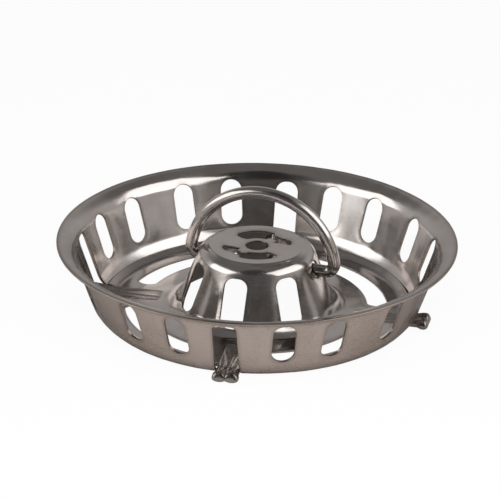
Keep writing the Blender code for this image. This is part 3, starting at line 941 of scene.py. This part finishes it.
class Finish(Nodes):
    """Builds one procedural steel. Its coordinates are the object's own, in millimetres."""

    def __init__(self, name, colour, roughness, grazing=1.0):
        self.material = bpy.data.materials.new(name)
        super().__init__(self.material)
        self.shader = self.tree.nodes["Principled BSDF"]
        self.link(1.0, self.shader.inputs["Metallic"])
        self.link((grazing, grazing, grazing, 1.0), self.shader.inputs["Specular Tint"])
        self.colour = colour
        self.roughness = roughness
        self.place = self.vector("SCALE", self.new("TexCoord").outputs["Object"], scale=MILLIMETRES)

    def shaded(self, share, tint=(1.0, 1.0, 1.0)):
        """The steel's colour times a share and a tint."""
        return (*(min(channel * share * part, 1.0) for channel, part in zip(self.colour, tint)), 1.0)

    def axis_distance(self):
        return self.vector("LENGTH", self.flat(self.place), output="Value")

    def round_the_axis(self):
        """Coordinates that change slowly round the basket's axis and fast across it."""
        way = self.vector("SCALE", self.vector("NORMALIZE", self.flat(self.place)), scale=SPUN_LENGTH)
        slant = self.maths("MULTIPLY", self.height(self.place), SPUN_SLANT)
        across = self.maths("ADD", self.axis_distance(), slant)
        joined = self.new("CombineXYZ")
        self.link(self.maths("MULTIPLY", across, SPUN_FINENESS), joined.inputs[2])
        return self.vector("ADD", way, joined.outputs[0])

    def finish(self, spread, spun, grain, spun_height, grain_height, edge_shade=0.0, anisotropy=0.0,
               darkening=(), by_height=False):
        """Joins the layers: cloudy stains, spun lines, fine grain, a darker rim at cut edges, and a darkening
        by place, which is painted shade under the dome and on the lugs' lobes and a plain darkening towards
        the bail's feet.

        The heights of lines and grain are in millimetres.
        """
        clouds = self.noise(self.place, *CLOUDS)
        lines = self.noise(self.round_the_axis(), *SPUN_LINES)
        specks = self.noise(self.place, *SPECKS)
        dark = self.shaded(1 - spread, WARM_TINT)
        deep = self.shaded((1 - spread) ** 2, WARM_TINT)
        colour = self.mixed(self.span(clouds, *STAIN_BAND), dark, self.shaded(1 + spread))
        colour = self.mixed(self.span(lines, *LINE_BAND, spun, 0.0), colour, deep)
        if edge_shade:
            attribute = self.new("Attribute")
            attribute.attribute_name = EDGE_ATTRIBUTE
            near = self.span(attribute.outputs["Fac"], 0.0, EDGE_REACH, edge_shade, 0.0)
            colour = self.mixed(near, colour, self.shaded(1.0, EDGE_TINT))
        if darkening:
            # Darkening by place: painted shade under the dome and on the lugs' lobes, darker towards the
            # bail's feet.
            measure = self.height(self.place) if by_height else self.axis_distance()
            colour = self.mixed(self.span(measure, *darkening), colour, self.shaded(DARKENING_SHARE, WARM_TINT))
        self.link(colour, self.shader.inputs["Base Color"])
        cloudy = self.span(clouds, *ROUGH_BAND, *(self.roughness * share for share in CLOUD_ROUGHNESS))
        rough = self.maths("ADD", cloudy, self.span(lines, *ROUGH_BAND, *LINE_ROUGHNESS))
        rough = self.maths("ADD", rough, self.span(specks, *SPECK_BAND, -grain, grain), clamp=True)
        self.link(rough, self.shader.inputs["Roughness"])
        bump = self.new("Bump")
        self.link(1.0, bump.inputs["Strength"])
        self.link(BUMP_UNIT, bump.inputs["Distance"])
        self.link(self.maths("ADD", self.maths("MULTIPLY", lines, spun_height),
                             self.maths("MULTIPLY", specks, grain_height)), bump.inputs["Height"])
        self.link(bump.outputs[0], self.shader.inputs["Normal"])
        if anisotropy:
            tangent = self.new("Tangent")
            tangent.direction_type = "RADIAL"
            tangent.axis = "Z"
            self.link(tangent.outputs[0], self.shader.inputs["Tangent"])
            self.link(anisotropy, self.shader.inputs["Anisotropic"])
        return self.material


def sheet_steels():
    """Materials of the two pressed sheets, in the order of a shell's faces, and of the tongues."""
    edge = Finish("steel_cut_edge", (0.29, 0.25, 0.222), 0.34).finish(
        spread=0.10, spun=0.2, grain=0.04, spun_height=0.0008, grain_height=0.0012)
    cup_inside = Finish("steel_cup_inside", (0.57, 0.54, 0.525), 0.16, grazing=0.60).finish(
        spread=0.05, spun=0.22, grain=0.02, spun_height=0.0016, grain_height=0.0006,
        edge_shade=0.45, anisotropy=0.3)
    # The outside is rougher, and its colour is darker and warmer than the inside's: painted shade, for the
    # shadowed table that it mirrors.
    cup_outside_painted_shade = Finish("steel_cup_outside", (0.40, 0.343, 0.312), 0.30, grazing=0.50).finish(
        spread=0.07, spun=0.35, grain=0.04, spun_height=0.0026, grain_height=0.0014,
        edge_shade=0.45, anisotropy=0.35)
    plate_top = Finish("steel_plate_top", (0.55, 0.52, 0.505), 0.17, grazing=0.80).finish(
        spread=0.06, spun=0.22, grain=0.03, spun_height=0.0014, grain_height=0.0008,
        edge_shade=0.45, anisotropy=0.2)
    # The underside is a darker copy of the top: painted shade, and under the dome it is darkened further by
    # painted shade.
    plate_under_painted_shade = Finish("steel_plate_under", (0.42, 0.38, 0.355), 0.32).finish(
        spread=0.07, spun=0.3, grain=0.04, spun_height=0.0020, grain_height=0.0014,
        edge_shade=0.4, anisotropy=0.2, darkening=DOME_PAINTED_SHADE)
    # Out at the lobes the tongue is darkened: painted shade, for the dark reflection in the lobes.
    tongue_steel = Finish("steel_tongue", (0.46, 0.415, 0.39), 0.24).finish(
        spread=0.07, spun=0.2, grain=0.03, spun_height=0.0008, grain_height=0.0006, darkening=LOBE_PAINTED_SHADE)
    return [cup_inside, cup_outside_painted_shade, edge], [plate_top, plate_under_painted_shade, edge], tongue_steel


def wire_steel():
    # The wire is darker towards its feet, below a height.
    return Finish("steel_bail_wire", (0.55, 0.515, 0.495), 0.19).finish(
        spread=0.05, spun=0.25, grain=0.03, spun_height=0.0010, grain_height=0.0006,
        darkening=FOOT_DARKENING, by_height=True)


def dress(piece, body, node, materials):
    for material in materials:
        piece.data.materials.append(material)
    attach(piece, body)
    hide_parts(node)


def pieces():
    cup_steels, plate_steels, tongue_steel = sheet_steels()
    dress(cup(), "basket", "slotted_cup", cup_steels)
    dress(plate(), "basket", "dome_plate", plate_steels)
    for side, azimuth, length in zip(("front", "right", "back", "left"), LUG_AZIMUTHS, LUG_LENGTHS):
        piece = tongue("tongue_" + side, azimuth, length)
        dress(piece, "basket", "dome_plate", [tongue_steel])
    dress(bail(), "handle", "bail", [wire_steel()])


def compass(azimuth, elevation):
    """Unit vector towards an azimuth, which is counted from the camera's side to its right."""
    turned = CAMERA_AZIMUTH + azimuth
    flat = math.cos(elevation)
    return Vector((math.sin(turned) * flat, -math.cos(turned) * flat, math.sin(elevation)))


def camera():
    data = bpy.data.cameras.new("camera")
    data.lens = FOCAL_PIXELS * data.sensor_width / PHOTO_PIXELS
    data.shift_x = ((PHOTO_PIXELS - 1) / 2 - RIM_PIXEL[0]) / PHOTO_PIXELS
    data.shift_y = (RIM_PIXEL[1] - (PHOTO_PIXELS - 1) / 2) / PHOTO_PIXELS
    data.clip_start = CLIP_START
    made = placed("camera", data)
    towards = compass(0.0, CAMERA_ELEVATION)
    roll = Matrix.Rotation(CAMERA_ROLL, 3, "Z").to_quaternion()
    made.rotation_mode = "QUATERNION"
    made.rotation_quaternion = (-towards).to_track_quat("-Z", "Y") @ roll
    made.location = Vector((0.0, 0.0, RIM_HEIGHT)) + towards * CAMERA_DISTANCE
    bpy.context.scene.camera = made


def lamp(name, azimuth, elevation, distance, width, height, radiance, mirrored):
    """Soft box that faces the object. It is either mirrored in the steel or lights the table."""
    data = bpy.data.lights.new(name, "AREA")
    data.shape = "RECTANGLE"
    data.size = width
    data.size_y = height
    data.energy = radiance * math.pi * width * height
    made = placed(name, data)
    towards = compass(azimuth, elevation)
    made.location = towards * distance
    made.rotation_mode = "QUATERNION"
    made.rotation_quaternion = towards.to_track_quat("Z", "Y")
    made.visible_camera = False
    made.visible_glossy = mirrored
    made.visible_diffuse = not mirrored


def studio_light():
    for box in SOFT_BOXES:
        lamp(*box, mirrored=True)
    lamp(*FRONT_LAMP, mirrored=False)


def surroundings():
    """A dim grey room, paler towards its walls and darkest behind the camera."""
    world = bpy.data.worlds.new("room")
    bpy.context.scene.world = world
    nodes = Nodes(world)
    place = nodes.new("TexCoord").outputs["Generated"]
    level = nodes.span(nodes.height(place), *ROOM_FALL, ROOM_LOW, ROOM_HIGH)
    course = nodes.vector("NORMALIZE", nodes.flat(place))
    facing = nodes.vector("DOT_PRODUCT", course, compass(DARK_AZIMUTH, 0.0), output="Value")
    shade = nodes.span(facing, math.cos(DARK_END), math.cos(DARK_START), 1.0, DARK_SHARE)
    background = nodes.tree.nodes["Background"]
    nodes.link((*ROOM_COLOUR, 1.0), background.inputs["Color"])
    nodes.link(nodes.maths("MULTIPLY", level, shade), background.inputs["Strength"])


def floor():
    """White table. Seen directly it shows mostly its own white, and mirrored in metal a little of it."""
    mesh = bpy.data.meshes.new("table_top")
    turns = np.linspace(0.0, math.tau, TABLE_SIDES, endpoint=False)
    rim = [(TABLE_RADIUS * math.cos(turn), TABLE_RADIUS * math.sin(turn), -TABLE_DROP) for turn in turns]
    mesh.from_pydata(rim, [], [list(range(len(rim)))])
    made = placed("table_top", mesh)
    material = bpy.data.materials.new("table_white")
    nodes = Nodes(material)
    shader = nodes.tree.nodes["Principled BSDF"]
    nodes.link((*TABLE_COLOUR, 1.0), shader.inputs["Base Color"])
    nodes.link(TABLE_ROUGHNESS, shader.inputs["Roughness"])
    nodes.link(0.0, shader.inputs["Specular IOR Level"])
    glow = nodes.new("Emission")
    nodes.link((1.0, 1.0, 1.0, 1.0), glow.inputs["Color"])
    nodes.link(1.0, glow.inputs["Strength"])
    rays = nodes.new("LightPath").outputs
    straight = nodes.maths("MAXIMUM", rays["Is Camera Ray"], rays["Is Transmission Ray"])
    share = nodes.maths("ADD", nodes.maths("MULTIPLY", straight, GLOW_SHARE),
                        nodes.maths("MULTIPLY", rays["Is Glossy Ray"], MIRRORED_GLOW))
    mix = nodes.new("MixShader")
    for socket, value in zip(mix.inputs, (share, shader.outputs[0], glow.outputs[0])):
        nodes.link(value, socket)
    nodes.link(mix.outputs[0], nodes.tree.nodes["Material Output"].inputs["Surface"])
    mesh.materials.append(material)
    made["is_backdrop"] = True


def corners():
    return [list(corner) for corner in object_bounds()]


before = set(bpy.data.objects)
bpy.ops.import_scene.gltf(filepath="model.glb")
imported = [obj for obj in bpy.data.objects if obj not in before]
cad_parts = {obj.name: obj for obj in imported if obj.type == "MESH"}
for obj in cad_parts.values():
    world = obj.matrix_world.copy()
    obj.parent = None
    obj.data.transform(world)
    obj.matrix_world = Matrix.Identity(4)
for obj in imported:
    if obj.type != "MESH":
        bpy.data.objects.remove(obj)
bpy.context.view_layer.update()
bpy.context.scene.view_settings.view_transform = "Standard"
pieces()
floor()
surroundings()
studio_light()
camera()
bpy.context.view_layer.update()
